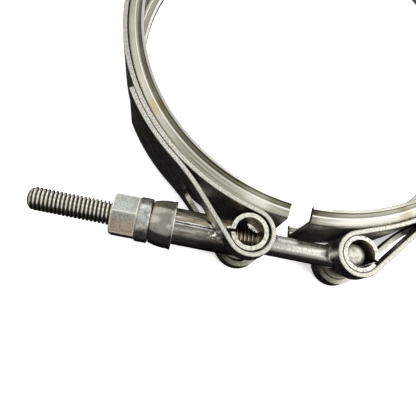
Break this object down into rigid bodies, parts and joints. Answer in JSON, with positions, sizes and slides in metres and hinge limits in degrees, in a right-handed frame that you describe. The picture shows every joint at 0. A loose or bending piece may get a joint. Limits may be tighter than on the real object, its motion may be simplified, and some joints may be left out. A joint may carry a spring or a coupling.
{
  "type": "v band clamp",
  "caption": "Split ring clamp with a V groove inside that draws two pipe flanges together as its T bolt and collar nut are turned.",
  "frame": {"origin": "centre of the ring, on the pipe's axis, midway between the two lips", "axes": "+Z along the pipe's axis; the latch is at -Y, and the bolt lies along X with its threaded tip towards -X"},
  "size_m": [0.125, 0.1228, 0.0218],
  "materials": {
    "band": "bright rolled strip, warm grey",
    "retainer": "rolled sheet, heat tinted in places",
    "trunnion": "polished",
    "cup": "polished",
    "nut": "zinc plated, satin",
    "bolt": "rolled thread"
  },
  "bodies": {
    "left_half": {"band_left": "band", "retainer_left": "retainer"},
    "right_half": {"band_right": "band", "retainer_right": "retainer"},
    "left_latch": {"left_trunnion": "trunnion", "sleeve_cup": "cup"},
    "nut": {"collar_nut": "nut"},
    "bolt": {"t_bolt": "bolt", "right_trunnion": "trunnion"}
  },
  "joints": [
    {"name": "ring_opening", "type": "hinge", "parent": "left_half", "child": "right_half", "pos_m": [0, 0.05655, 0], "axis": [0, 0, 1], "range_deg": [-1, 7.9]},
    {"name": "left_latch_pivot", "type": "hinge", "parent": "left_half", "child": "left_latch", "pos_m": [-0.0139, -0.06001, 0], "axis": [0, 0, 1], "range_deg": [-0.55, 4]},
    {"name": "nut_turn", "type": "hinge", "parent": "left_latch", "child": "nut", "pos_m": [-0.0428, -0.06001, 0], "axis": [-1, 0, 0], "range_deg": [-720, 5760]},
    {"name": "bolt_pivot", "type": "hinge", "parent": "right_half", "child": "bolt", "pos_m": [0.0139, -0.06001, 0], "axis": [0, 0, 1], "range_deg": [-4, 0.55]}
  ],
  "couplings": [
    {"joint": "ring_opening", "follows": "nut_turn", "ratio": 0.0013654},
    {"joint": "left_latch_pivot", "follows": "nut_turn", "ratio": 0.00068271},
    {"joint": "bolt_pivot", "follows": "nut_turn", "ratio": -0.00068271}
  ]
}
